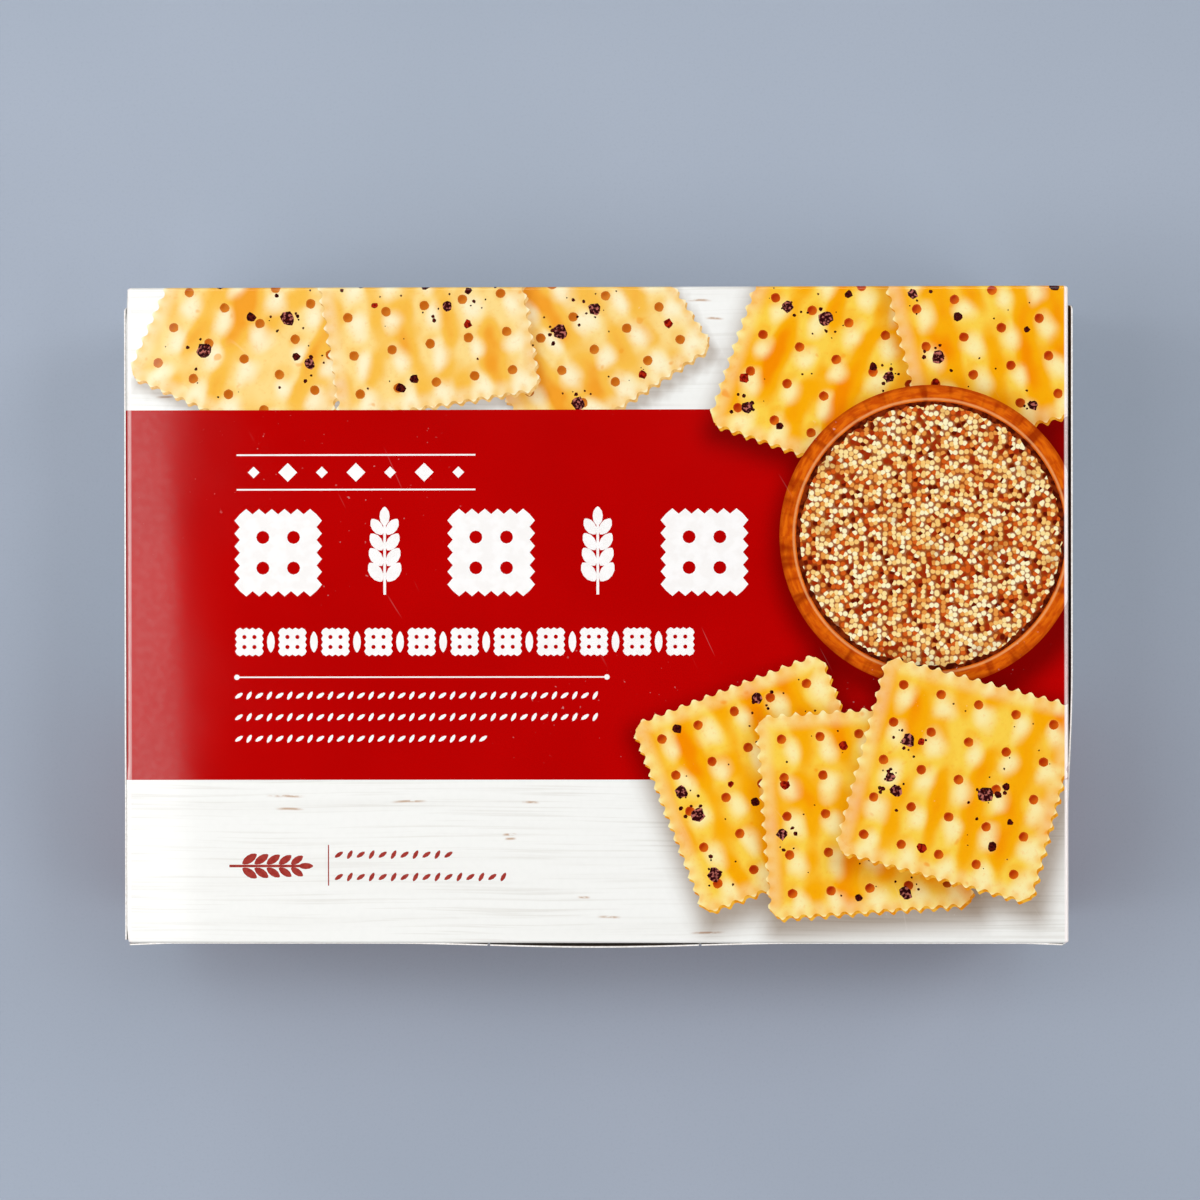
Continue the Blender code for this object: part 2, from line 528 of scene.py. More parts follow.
def bowl(art):
    """The bowl's wood, its dark inside, and the heap of grain with its uneven edge."""
    inside = BOWL_RADIUS - BOWL_RIM
    art.shadows.append(soft_disc(BOWL_MIDDLE, BOWL_RADIUS, *SHADOWS["bowl"]))
    art.add("bowl_wood", circle(BOWL_RADIUS, BOWL_CORNERS), BOWL_MIDDLE)
    art.add("bowl_inside", circle(inside, BOWL_CORNERS), BOWL_MIDDLE)
    chance = random.Random("grain")
    heap = []
    for k in range(BOWL_CORNERS * 2):
        reach = inside - HEAP_GAP - chance.uniform(0.0, HEAP_UNEVEN)
        heap.append(polar(math.pi * k / BOWL_CORNERS, reach))
    art.add("grain", heap, BOWL_MIDDLE)


# Ornaments of grain ears, squares and rules, in place of words
WHITE_LEFT = -0.0920
BORDER_MIDDLE = (-0.0270, 0.0160)
BORDER_PITCH = 0.0272
SQUARE_HALF = 0.0098
SQUARE_TOOTH = 0.07
SQUARE_DOT = 0.17
SQUARE_DOT_OFF = 0.40
SPRIG_HEIGHT = 0.0215
DIAMOND_HALF = 0.0017
KERNEL_LEAN = (0.6, 1.05)

# An ear of grain, as shares of its length
STEM_LENGTH = 0.9
STEM_WIDTH = 0.032
EAR_START = 0.16
EAR_LENGTH = 0.74
EAR_TIP = 0.93


def sprig(art, ink, root, heading, length, pairs, plump=1.0):
    """An ear of grain: pairs of kernels along a stem, smaller towards the tip, and one on it."""
    def spot(along, aside=0.0, start=root):
        return placed([(along, aside)], start, heading)[0]

    art.add(ink, strip(root, spot(length * STEM_LENGTH), length * STEM_WIDTH))
    step = length * EAR_LENGTH / pairs
    for k in range(pairs):
        size = step * (1.45 - 0.30 * k / pairs)
        for side in (-1, 1):
            base = spot(length * EAR_START + step * k, side * size * 0.16)
            middle = spot(size * 0.40, side * size * 0.24, base)
            art.add(ink, kernel(size, size * 0.46 * plump), middle, heading + side * 0.60)
    tip = spot(length * EAR_TIP)
    art.add(ink, kernel(step * 1.25, step * 0.52 * plump), tip, heading)


def small_square(art, ink, hole_ink, middle, half, teeth):
    """A little pinked square with four dots."""
    def tooth(share):
        return half * SQUARE_TOOTH * (1 - math.cos(2 * math.pi * share * teeth))

    art.add(ink, pinked(half, half, teeth * 4, tooth), middle)
    for x in (-SQUARE_DOT_OFF, SQUARE_DOT_OFF):
        for y in (-SQUARE_DOT_OFF, SQUARE_DOT_OFF):
            place = (middle[0] + x * half, middle[1] + y * half)
            art.add(hole_ink, circle(half * SQUARE_DOT), place)


def rule(art, ink, left, right, t, width):
    """A thin level line."""
    art.add(ink, rectangle(left, t - width / 2, right, t + width / 2))


def kernel_row(art, ink, left, right, t, pitch, length):
    """A row of small slanted kernels."""
    count = int((right - left) / pitch)
    for k in range(count + 1):
        art.add(ink, kernel(length, length * 0.42, 8), (left + k * pitch, t), KERNEL_LEAN[k % 2])


def diamond_row(art, ink, left, right, t, count):
    """Diamonds between two thin rules, every second one smaller."""
    pitch = (right - left) / count
    for k in range(count):
        size = DIAMOND_HALF if k % 2 else DIAMOND_HALF * 0.62
        middle = (left + pitch * (k + 0.5), t)
        art.add(ink, rectangle(-size, -size, size, size), middle, math.pi / 4)
    for side in (-1, 1):
        rule(art, ink, left, right, t + side * DIAMOND_HALF * 2.6, DIAMOND_HALF * 0.24)


def big_border(art, ink, hole_ink, middle, count, scale=1.0):
    """A bold row of pinked squares with upright ears of grain between them."""
    for k in range(count):
        s = middle[0] + (k - (count - 1) / 2) * BORDER_PITCH * scale
        if k % 2 == 0:
            small_square(art, ink, hole_ink, (s, middle[1]), SQUARE_HALF * scale, 6)
        else:
            root = (s, middle[1] - SPRIG_HEIGHT * scale / 2)
            sprig(art, ink, root, math.pi / 2, SPRIG_HEIGHT * scale, 4, 1.25)


def small_border(art, ink, hole_ink, left, t, count, pitch, half):
    """Small pinked squares, with a kernel between each two."""
    for k in range(count):
        small_square(art, ink, hole_ink, (left + half + k * pitch, t), half, 4)
        if k < count - 1:
            middle = (left + half + (k + 0.5) * pitch, t)
            art.add(ink, kernel(half * 1.7, half * 0.62), middle, math.pi / 2)


def front_ornaments(art):
    """White on the band, dark red on the boards below."""
    left = WHITE_LEFT
    diamond_row(art, "white_ink", left, left + 0.0610, 0.0365, 7)
    big_border(art, "white_ink", "red_ink", BORDER_MIDDLE, 5)
    small_border(art, "white_ink", "red_ink", left, -0.0068, 11, 0.0110, 0.0032)
    line_right, line_level = left + 0.0945, -0.0158
    rule(art, "white_ink", left, line_right, line_level, 0.00035)
    for s in (left, line_right):
        art.add("white_ink", circle(0.0007), (s, line_level))
    for t, length in ((-0.0205, 0.0940), (-0.0260, 0.0940), (-0.0315, 0.0650)):
        kernel_row(art, "white_ink", left + 0.0005, left + length, t, 0.0026, 0.0024)
    sprig(art, "dark_red_ink", (-0.0940, -0.0640), 0.0, 0.0210, 5)
    bar_left = -0.0688
    art.add("dark_red_ink", rectangle(bar_left, -0.0690, bar_left + 0.0003, -0.0586))
    for t, right in ((-0.0611, -0.0360), (-0.0668, -0.0230)):
        kernel_row(art, "dark_red_ink", -0.0660, right, t, 0.0028, 0.0026)


def other_ornaments(art):
    """Plainer ornaments on the sides and the back; there t runs downwards."""
    side_middle = (T_SIDE + T_SIDE_END) / 2
    diamond_row(art, "dark_red_ink", -0.0750, 0.0350, side_middle + 0.0140, 13)
    upper_back = (T_BACK + T_LOWER_FIELD) / 2
    big_border(art, "dark_red_ink", "white_boards", (0.0, upper_back), 7)
    for k in range(4):
        t = T_LOWER_FIELD + 0.0110 + k * 0.0075
        kernel_row(art, "white_ink", -0.0930, 0.0930 - 0.030 * (k % 2), t, 0.0031, 0.0028)
    flap_middle = (T_LONG + T_FREE - LOWER_FIELD_MARGIN) / 2
    big_border(art, "white_ink", "red_ink", (0.0, flap_middle), 7, 0.8)
    for side in (-1, 1):
        s = side * (S_FLAP + FLAP_LENGTH * 0.48)
        sprig(art, "dark_red_ink", (s, upper_back + 0.0160), -math.pi / 2, 0.0300, 5, 1.1)
        for k in (-1, 0, 1):
            place = (s + k * 0.0125, T_LOWER_FIELD + 0.0260)
            art.add("white_ink", kernel(0.0160, 0.0058), place, 1.1)


# Brown streaks on the planks: place on the sheet and half length
TAN_MARK_HALF = 0.0007
TAN_MARKS = (
    (-0.0795, -0.0462, 0.0056), (-0.0785, -0.0494, 0.0042), (-0.0480, -0.0474, 0.0052),
    (-0.0170, -0.0478, 0.0026), (-0.0225, -0.0560, 0.0022), (-0.0222, -0.0571, 0.0018),
    (0.0030, -0.0770, 0.0034), (0.0280, -0.0808, 0.0050), (-0.0035, -0.0722, 0.0020),
    (0.0262, 0.0800, 0.0036), (0.0300, 0.0755, 0.0028), (-0.1100, 0.0560, 0.0030),
)
UNSEEN_TAN_MARKS = 26


def tan_marks(art):
    """The front's streaks, and some like them on the top side and the back."""
    chance = random.Random("tan marks")
    marks = list(TAN_MARKS)
    for _ in range(UNSEEN_TAN_MARKS):
        t = chance.uniform(T_SIDE, T_LOWER_FIELD - 0.004)
        marks.append((chance.uniform(-0.110, 0.110), t, chance.uniform(0.002, 0.006)))
    for s, t, reach in marks:
        streak = rectangle(-reach, -TAN_MARK_HALF, reach, TAN_MARK_HALF)
        art.add("tan_mark", streak, (s, t), 0.0, reach)


# The crackers: name, middle on the sheet and turn in degrees
UPPER_CRACKERS = (
    ("upper left", (-0.0860, 0.0745), -24),
    ("upper middle", (-0.0060, 0.0760), 33),
    ("upper between", (-0.0440, 0.0790), 9),
)
BOWL_CRACKERS = (
    ("bowl left", (0.0610, 0.0650), -19),
    ("bowl right", (0.1030, 0.0730), 14),
)
LOW_CRACKERS = (
    ("low left", (0.0420, -0.0430), 21),
    ("low middle", (0.0680, -0.0500), 4),
    ("low right", (0.0920, -0.0420), -15),
)


def whole_artwork():
    """Everything printed on the sheet, from the ground up."""
    art = Artwork()
    wide = FRONT_WIDTH * 2
    tan_marks(art)
    for place in UPPER_CRACKERS:
        cracker(art, *place, tone="pale")
    art.add("red_ink", rectangle(-wide, BAND_BOTTOM, wide, BAND_TOP))
    art.add("red_ink", rectangle(-wide, T_LOWER_FIELD, wide, T_FREE - LOWER_FIELD_MARGIN))
    for place in BOWL_CRACKERS:
        cracker(art, *place)
    bowl(art)
    for place in LOW_CRACKERS:
        cracker(art, *place)
    front_ornaments(art)
    other_ornaments(art)
    return art


# Shader recipes

def adds_math(operation, reflected=False):
    """An operator of Value, which adds a Math node; reflected puts the value last."""
    def method(self, *other):
        values = (*other, self) if reflected else (self, *other)
        return self.recipe.math(operation, *values)

    return method


class Value:
    """One shader socket in an expression."""

    def __init__(self, recipe, socket):
        self.recipe = recipe
        self.socket = socket

    __add__ = __radd__ = adds_math("ADD")
    __sub__ = adds_math("SUBTRACT")
    __rsub__ = adds_math("SUBTRACT", reflected=True)
    __mul__ = __rmul__ = adds_math("MULTIPLY")
    __truediv__ = adds_math("DIVIDE")
    __abs__ = adds_math("ABSOLUTE")

    def wave(self, pitch):
        """1 at every whole pitch and 0 halfway between."""
        return self.recipe.math("COSINE", self * (2 * math.pi / pitch)) * 0.5 + 0.5

    def ramp(self, start, end):
        """0 below start, 1 above end, and an even S between; start may be the larger."""
        if start > end:
            return 1 - self.ramp(end, start)
        sockets = {"Value": self, "From Min": start, "From Max": end}
        return self.recipe.node("ShaderNodeMapRange", {"interpolation_type": "SMOOTHSTEP"}, sockets)

    def output(self, key):
        """Another output of the same node."""
        return Value(self.recipe, self.socket.node.outputs[key])

    def parts(self):
        """The x and y of a vector."""
        x = self.recipe.node("ShaderNodeSeparateXYZ", {}, {0: self})
        return x, x.output(1)


class Recipe:
    """The node tree of one material, or of the room."""

    def __init__(self, owner, shader="Principled BSDF"):
        owner.use_nodes = True
        self.owner = owner
        self.tree = owner.node_tree
        self.shader = self.tree.nodes[shader]

    def node(self, kind, settings, sockets, output=0):
        """Adds a node: its type, its settings, then each socket's value or link."""
        node = self.tree.nodes.new(kind)
        for key, setting in settings.items():
            if key == "stops":
                self.set_stops(node.color_ramp, setting)
            else:
                setattr(node, key, setting)
        self.feed(node, sockets)
        return Value(self, node.outputs[output])

    def set_stops(self, ramp, stops):
        """Gives a ramp these stops, with no blending between them."""
        ramp.interpolation = "CONSTANT"
        while len(ramp.elements) > 1:
            ramp.elements.remove(ramp.elements[-1])
        ramp.elements[0].position, ramp.elements[0].color = stops[0]
        for position, colour in stops[1:]:
            ramp.elements.new(position).color = colour

    def feed(self, node, sockets):
        """Links or sets each socket. Three numbers are a colour in screen values."""
        for key, value in sockets.items():
            if isinstance(value, Value):
                self.tree.links.new(value.socket, node.inputs[key])
            elif isinstance(value, tuple) and len(value) == 3:
                node.inputs[key].default_value = linear(*value)
            else:
                node.inputs[key].default_value = value

    def math(self, operation, *values):
        return self.node("ShaderNodeMath", {"operation": operation}, dict(enumerate(values)))

    def length(self, x, y):
        return self.math("SQRT", x * x + y * y)

    def mix(self, share, first, second, blend="MIX"):
        sockets = {0: share, 6: first, 7: second}
        return self.node("ShaderNodeMix", {"data_type": "RGBA", "blend_type": blend}, sockets, 2)

    def place(self, x, y):
        return self.node("ShaderNodeCombineXYZ", {}, {0: x, 1: y})

    def map(self, name):
        return self.node("ShaderNodeUVMap", {"uv_map": name}, {})

    def attribute(self, name):
        return self.node("ShaderNodeAttribute", {"attribute_name": name}, {}, 2)

    def object_place(self):
        return self.node("ShaderNodeTexCoord", {}, {}, 3)

    def noise(self, vector, scale, detail, chance=None):
        """Cloudy noise, mostly from 0.3 to 0.7. chance picks another stretch of it."""
        sockets = {"Vector": vector, "Scale": scale, "Detail": detail}
        if chance is not None:
            sockets["W"] = chance
        dimensions = "3D" if chance is None else "4D"
        return self.node("ShaderNodeTexNoise", {"noise_dimensions": dimensions}, sockets)

    def bump(self, height, depth):
        sockets = {"Height": height, "Distance": depth, "Strength": 1.0}
        return self.node("ShaderNodeBump", {}, sockets)

    def finish(self, sockets):
        """Feeds the shader and returns the finished material."""
        self.feed(self.shader, sockets)
        return self.owner


# Varnish: smooth with soft smudges, a fine peel, and a thicker coat in small clouds
VARNISH_ROUGHNESS = 0.062
SMUDGE_SIZE = 26
SMUDGE_ROUGHNESS = 0.04
PEEL_SIZE = 420
PEEL_DEPTH = 0.0000015
COAT_CLOUDS = 560
SECOND_COAT = 0.30

# Wear and painted highlight: cracked ink along the end folds with a painted highlight on them,
# rubbed specks and hairline scratches
CREASE_START = 0.0003
LEFT_CREASE_END = 0.0006
RIGHT_CREASE_END = 0.0008
# How white the end folds are on the left, on the right and on red: cracked ink plus a painted
# highlight, stronger on the right
LEFT_CRACKS_AND_HIGHLIGHT = 0.50
RIGHT_CRACKS_AND_HIGHLIGHT = 0.92
RED_CRACKS_AND_HIGHLIGHT = 0.62
SCUFF_STRENGTH = 0.22
HAIRLINE_STRENGTH = 0.35
HAIRLINE_HEADING = (0.87, 0.5)

# Cracked ink, which is also the painted highlight along the end folds, and the printed shadows, in
# screen values
CRACKED_INK_AND_HIGHLIGHT = (255, 246, 244)
SOFT_SHADOW = (137, 108, 79)
DOUGH_SHADOW = (206, 160, 108)


def cracked_folds_and_highlight(recipe):
    """1 along the folds at both ends of the front: ink cracked to the board, with a painted
    highlight on the fold.
    """
    s, t = recipe.map("sheet").parts()
    on_right = s.ramp(-0.01, 0.01)
    past_panel = abs(s) - S_FLAT
    start = past_panel.ramp(-CREASE_START - 0.0002, -CREASE_START + 0.0001)
    width = on_right * (RIGHT_CREASE_END - LEFT_CREASE_END) + LEFT_CREASE_END
    end = (past_panel - width).ramp(0.0002, 0.0)
    patchy_crease = recipe.noise(recipe.place(s * 900, t * 160), 1, 3).ramp(0.18, 0.52)
    # Stronger on the right, where the painted highlight on the fold is brighter
    strength = on_right * (RIGHT_CRACKS_AND_HIGHLIGHT - LEFT_CRACKS_AND_HIGHLIGHT) + LEFT_CRACKS_AND_HIGHLIGHT
    return start * end * (patchy_crease * 0.35 + 0.65) * strength


def scuffs(recipe):
    """Small rubbed specks, gathered in a few places, and a few hairline scratches."""
    field = recipe.map("sheet")
    specks = recipe.noise(field, 620, 2).ramp(0.70, 0.76)
    specks = specks * recipe.noise(field, 17, 1).ramp(0.54, 0.64)
    s, t = field.parts()
    cos, sin = HAIRLINE_HEADING
    across, along = s * cos + t * sin, t * cos - s * sin
    streaks = recipe.noise(recipe.place(across * 120, along * 14), 1, 0)
    hairline = abs(streaks - 0.5).ramp(0.010, 0.002)
    hairline = hairline * recipe.noise(field, 48, 1).ramp(0.64, 0.76)
    return specks + hairline * HAIRLINE_STRENGTH


def varnished(recipe, colour, *coats, shadow=SOFT_SHADOW, fold_cracks_and_highlight=1.0):
    """Gloss varnish over ink, with the printed shadows, cracked folds with their painted highlight,
    and scuffs.

    Each coat is a share and a colour, and is laid over the colour and the coats before it.
    """
    for share, coat in coats:
        colour = recipe.mix(share, colour, coat)
    colour = recipe.mix(recipe.attribute("shade"), colour, shadow, "MULTIPLY")
    colour = recipe.mix(scuffs(recipe) * SCUFF_STRENGTH, colour, CRACKED_INK_AND_HIGHLIGHT)
    # White along the end folds: cracked ink and a painted highlight
    colour = recipe.mix(cracked_folds_and_highlight(recipe) * fold_cracks_and_highlight, colour, CRACKED_INK_AND_HIGHLIGHT)
    place = recipe.object_place()
    smudge = recipe.noise(place, SMUDGE_SIZE, 3).ramp(0.35, 0.75)
    peel = recipe.noise(place, PEEL_SIZE, 1)
    thicker = recipe.noise(place, COAT_CLOUDS, 3).ramp(0.38, 0.68)
    return recipe.finish({
        "Base Color": colour, "Normal": recipe.bump(peel, PEEL_DEPTH),
        "Roughness": smudge * SMUDGE_ROUGHNESS + VARNISH_ROUGHNESS,
        "Coat Weight": thicker * SECOND_COAT, "Coat Roughness": VARNISH_ROUGHNESS,
    })


def board_grain(recipe):
    """The colour of white planks: thin wavy grain lines, level along the sheet."""
    s, t = recipe.map("sheet").parts()
    waver = (recipe.noise(recipe.place(s * 14, t * 40), 1, 1) - 0.5) * 0.0030
    level = t + waver
    broad = recipe.noise(recipe.place(s * 8, level * 170), 1, 2).ramp(0.45, 0.75)
    fine = recipe.noise(recipe.place(s * 22, level * 1150), 1, 3).ramp(0.50, 0.68)
    strength = recipe.noise(recipe.place(s * 20, t * 70), 1, 1).ramp(0.35, 0.65) * 0.6 + 0.4
    grey = fine * strength * 0.65 + broad * 0.2
    return recipe.mix(grey, (247, 247, 244), (227, 225, 219))


def white_boards(recipe):
    """White planks, as printed."""
    return varnished(recipe, board_grain(recipe))


def tan_mark(recipe):
    """A short brown streak where the planks' paint has worn; batch is its half length."""
    u, v = recipe.map("local").parts()
    s, t = recipe.map("sheet").parts()
    waver = (recipe.noise(recipe.place(s * 90, t * 30), 1, 1) - 0.5) * 0.0014
    breaks = recipe.noise(recipe.place(s * 420, t * 900), 1, 2).ramp(0.28, 0.52)
    along = (abs(u) / recipe.attribute("batch")).ramp(1.0, 0.25)
    across = abs(v + waver).ramp(TAN_MARK_HALF * 0.62, TAN_MARK_HALF * 0.12)
    tan = along * across * breaks * 0.75
    return varnished(recipe, board_grain(recipe), (tan, (186, 142, 104)))


def red_ink(recipe):
    """An even red, with the faintest clouds."""
    cloud = recipe.noise(recipe.map("sheet"), 24, 3).ramp(0.3, 0.7)
    return varnished(recipe, (180, 0, 0), (cloud, (187, 1, 1)), fold_cracks_and_highlight=RED_CRACKS_AND_HIGHLIGHT)


def cracker_face(recipe, cream, yellow, gold, brown):
    """Baked dough: browned stripes between the holes, pale swells beside them, ruffled edge."""
    u, v = recipe.map("local").parts()
    chance = recipe.attribute("batch")
    field = recipe.place(u, v)
    blotch = recipe.noise(recipe.place(u * 1.25, v * 0.8), 84, 1, chance)
    wobble = recipe.noise(field, 150, 1, chance + 7)
    u_bent = u + (blotch - 0.5) * 0.006
    v_bent = v + (wobble - 0.5) * 0.006
    stripe = 1 - (u_bent - 0.0008).wave(HOLE_PITCH)
    heat = blotch * 1.25 + stripe * 0.26 + (wobble - 0.5) * 0.30 - 0.13

    def from_cells(u_middle, v_middle, u_stretch=1.0, v_stretch=1.0):
        """Distance from the nearest of the places that lie one beside each hole."""
        u_off = recipe.math("WRAP", u_bent - u_middle, HOLE_PITCH / 2, -HOLE_PITCH / 2)
        v_off = recipe.math("WRAP", v_bent - v_middle, HOLE_PITCH / 2, -HOLE_PITCH / 2)
        return recipe.length(u_off * u_stretch, v_off * v_stretch)

    swell = from_cells(0.0018, -0.0028, 1.15, 0.85)
    pit = from_cells(-0.0004, 0.0004)
    from_left = CRACKER_HALF - abs(u)
    from_top = CRACKER_HALF - abs(v)
    inward = recipe.math("MINIMUM", from_left, from_top)
    on_end = (from_top - from_left).ramp(-0.001, 0.001)
    ruffle = u.wave(TOOTH) * (1 - on_end) + v.wave(TOOTH) * on_end
    stain = recipe.noise(field, 230, 1, chance + 3).ramp(0.70, 0.76)
    crumb = recipe.noise(field, 1100, 2, chance).ramp(0.52, 0.78)
    return varnished(
        recipe, yellow,
        (heat.ramp(0.50, 0.74), gold),
        (heat.ramp(0.72, 0.98), brown),
        (pit.ramp(0.0032, 0.0012) * 0.45, gold),
        (swell.ramp(0.0042, 0.0004) * 0.85, cream),
        (inward.ramp(0.0042, 0.0006) * 0.45, cream),
        (inward.ramp(0.0024, 0.0002) * ruffle * 0.45, gold),
        (inward.ramp(-0.0002, -0.0008) * 0.7, cream),
        (stain * 0.6, brown),
        (crumb * 0.20, brown),
        shadow=DOUGH_SHADOW,
    )


def two_tone(recipe, first, second, size, shadow=SOFT_SHADOW):
    """An ink in two close tones, in small uneven patches."""
    patches = recipe.noise(recipe.map("sheet"), size, 2).ramp(0.40, 0.60)
    return varnished(recipe, first, (patches, second), shadow=shadow)


def docking_hole(recipe, dark, light):
    """A baked pit: darker towards its upper left, with a paler lip; batch says how dark."""
    u, v = recipe.map("local").parts()
    uneven = (recipe.noise(recipe.map("sheet"), 700, 1) - 0.5) * 0.0016
    slant = (u - v + uneven).ramp(-0.0014, 0.0016)
    baked = recipe.attribute("batch") * 0.7
    lip = (recipe.length(u, v) + uneven * 0.3).ramp(HOLE_RADIUS * 0.6, HOLE_RADIUS)
    return varnished(recipe, dark, (slant, light), (baked, dark), (lip * 0.40, light))


def speckled_seed(recipe):
    """A dark seed with rose patches."""
    patches = recipe.noise(recipe.map("sheet"), 1300, 1).ramp(0.48, 0.66)
    return varnished(recipe, (50, 8, 12), (patches, (190, 108, 96)))


# Seeds of grain: their size, and the share of seeds at which each colour starts
GRAIN_SIZE = 0.00122
GRAIN_STOPS = (
    (0.00, (255, 244, 196)), (0.20, (254, 226, 156)), (0.42, (248, 200, 118)),
    (0.58, (232, 152, 70)), (0.71, (212, 92, 26)), (0.84, (160, 44, 10)), (0.94, (100, 20, 4)),
)


def grain(recipe):
    """Round seeds side by side, each in one of a few colours, lit from the upper left."""
    field = recipe.map("local")
    sockets = {"Vector": field, "Scale": 1 / GRAIN_SIZE, "Randomness": 0.92}
    cell = recipe.node("ShaderNodeTexVoronoi", {"voronoi_dimensions": "2D"}, sockets)
    pick, _ = cell.output("Color").parts()
    stops = [(place, linear(*colour)) for place, colour in GRAIN_STOPS]
    colour = recipe.node("ShaderNodeValToRGB", {"stops": stops}, {0: pick})
    x, y = field.parts()
    cell_x, cell_y = cell.output("Position").parts()
    away_x, away_y = x - cell_x * GRAIN_SIZE, y - cell_y * GRAIN_SIZE
    lit = recipe.length(away_x + 0.0002, away_y - 0.0002).ramp(0.0005, 0.0)
    gap = cell.ramp(0.40, 0.64)
    hollow = recipe.noise(field, 90, 2).ramp(0.58, 0.74)
    return varnished(
        recipe, colour,
        (lit * 0.5, (255, 252, 232)), (gap * 0.90, (152, 62, 16)), (hollow * 0.35, (140, 50, 6)),
    )


def bowl_wood(recipe):
    """Turned wood: streaks along the rim, darker patches and a pale lip."""
    u, v = recipe.map("local").parts()
    radius = recipe.length(u, v)
    angle = recipe.math("ARCTAN2", v, u)
    streaks = recipe.noise(recipe.place(angle * 9, radius * 900), 1, 3).ramp(0.35, 0.65)
    patches = recipe.noise(recipe.place(angle * 11, radius * 90), 1, 2).ramp(0.50, 0.74)
    outer = radius.ramp(BOWL_RADIUS - 0.0012, BOWL_RADIUS)
    lip = BOWL_RADIUS - BOWL_RIM * 0.86
    shine = abs(radius - lip).ramp(0.00045, 0.0001)
    return varnished(
        recipe, (230, 108, 12), (streaks, (200, 76, 6)), (patches * 0.8, (142, 28, 0)),
        (outer * 0.55, (150, 40, 2)), (shine * 0.60, (246, 176, 112)),
    )


def pulp(recipe, light, dark):
    """Unprinted board with loose fibres."""
    fibres = recipe.noise(recipe.object_place(), 1400, 3).ramp(0.35, 0.68)
    return recipe.finish({"Base Color": recipe.mix(fibres, light, dark), "Roughness": 0.85})


# Cream, yellow, gold and brown of the crackers beside the bowl and of the paler upper ones
RICH_DOUGH = ((255, 241, 178), (253, 209, 74), (251, 173, 8), (248, 141, 0))
PALE_DOUGH = ((254, 245, 208), (252, 218, 138), (248, 190, 74), (244, 160, 42))

# Each material's recipe, its colours in screen values, and what else the recipe asks for
INKS = {
    "white_boards": (white_boards,),
    "tan_mark": (tan_mark,),
    "red_ink": (red_ink,),
    "cracker_rich": (cracker_face, *RICH_DOUGH),
    "cracker_pale": (cracker_face, *PALE_DOUGH),
    "cracker_edge_rich": (two_tone, (226, 140, 22), (242, 178, 56), 600, DOUGH_SHADOW),
    "cracker_edge_pale": (two_tone, (222, 166, 88), (238, 194, 124), 600, DOUGH_SHADOW),
    "docking_hole_rich": (docking_hole, (172, 40, 4), (230, 112, 20)),
    "docking_hole_pale": (docking_hole, (190, 92, 14), (216, 128, 40)),
    "dark_seed": (two_tone, (44, 6, 8), (86, 20, 14), 1500),
    "red_seed": (two_tone, (104, 8, 4), (178, 36, 12), 1100),
    "speckled_seed": (speckled_seed,),
    "bowl_wood": (bowl_wood,),
    "bowl_inside": (two_tone, (72, 14, 2), (124, 40, 8), 500),
    "grain": (grain,),
    "white_ink": (two_tone, (254, 252, 251), (250, 247, 245), 300),
    "dark_red_ink": (two_tone, (156, 50, 44), (168, 62, 54), 900),
    "cut_edge": (pulp, (255, 252, 248), (238, 232, 225)),
    # The board's inside: its own grey-brown back, made darker to paint shade into the gaps between
    # the flaps
    "shaded_board_inside": (pulp, (112, 94, 80), (88, 70, 58)),
}


@cache
def ink(name):
    """The material of this name, made when a piece first asks for it."""
    make, *values = INKS[name]
    return make(Recipe(bpy.data.materials.new(name)), *values)


# Cutting and folding the printed sheet

# Rows of points close beside a fold keep the panels flat up to it
FOLD_SUPPORT = 0.00008

# The triangulation keeps what lies inside the shapes; points this close are taken as one
TRIANGLES_INSIDE = 1
SAME_POINT = 1e-7

# Faces that meet at more than this are not shaded as one
SHARP_ANGLE = math.radians(35)

# The bake map: its strip for cut edges and insides, its free edge, the scale of hidden parts,
# and how much of the lower side's lining counts as seen
RIM_STRIP = 0.03
BAKE_EDGE = 0.003
HIDDEN_SQUEEZE = 0.05
SEEN_LINING = 0.002


def fold_lines():
    """Values of s and of t where the sheet must bend in clean rows."""
    steps = [FOLD_LENGTH * k / FOLD_STEPS for k in range(FOLD_STEPS + 1)]
    steps = [-FOLD_SUPPORT] + steps + [FOLD_LENGTH + FOLD_SUPPORT]
    flares = [share * FLAP_LENGTH for share in FLAP_ROWS]
    across = [side * (S_FLAT + step) for side in (-1, 1) for step in steps]
    across += [side * (S_FLAP + flare) for side in (-1, 1) for flare in flares]
    across += [side * (S_FLAP + depth) for side in (-1, 1) for depth in BOW_ROWS]
    along = [start + step for start in (T_FRONT, T_SIDE_END, T_BACK_END) for step in steps]
    along += [-T_FRONT - step for step in steps] + [-T_SIDE - depth for depth in BOW_ROWS]
    along += [T_LONG + flare for flare in flares]
    return across, along


def bounding_box(loop):
    """Left, bottom, right and top of a loop."""
    xs = [x for x, _ in loop]
    ys = [y for _, y in loop]
    return min(xs), min(ys), max(xs), max(ys)


def overlaps(one, other):
    """Whether two boxes overlap."""
    return one[2] > other[0] and one[0] < other[2] and one[3] > other[1] and one[1] < other[3]


